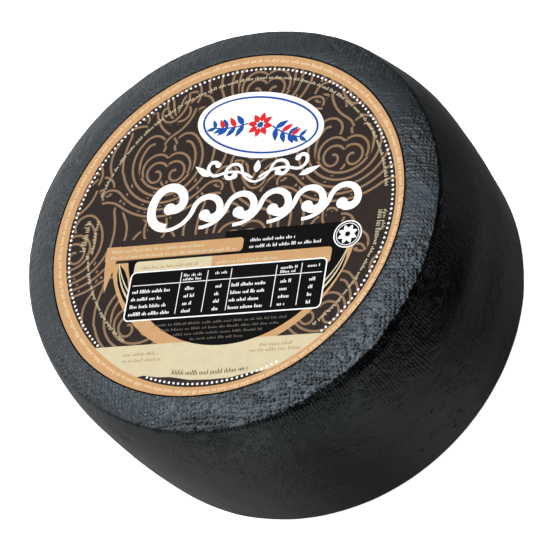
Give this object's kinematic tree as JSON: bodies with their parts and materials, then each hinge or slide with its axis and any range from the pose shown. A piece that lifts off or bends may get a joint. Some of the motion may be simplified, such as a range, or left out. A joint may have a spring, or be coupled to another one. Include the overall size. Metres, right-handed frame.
{
  "type": "hard grating cheese wheel",
  "caption": "Whole barrel-sided wheel of hard grating cheese in a black waxed rind, with a round paper label on its flat top face.",
  "frame": {"origin": "centre of the flat face that the wheel rests on", "axes": "+Z up through the wheel's thickness, +X to the right and +Y up across the label as it is read"},
  "size_m": [0.2503, 0.2507, 0.114],
  "materials": {
    "black_rind": "black wax coat over a cloth-marked rind, satin, with fine cloth weave, pits and small dents",
    "label_paper": "coated printed paper, tan rim, near-black field with tan scrollwork, white and cream print fields"
  },
  "bodies": {
    "root": {"cheese_wheel": "black_rind", "paper_label": "label_paper"}
  },
  "joints": []
}
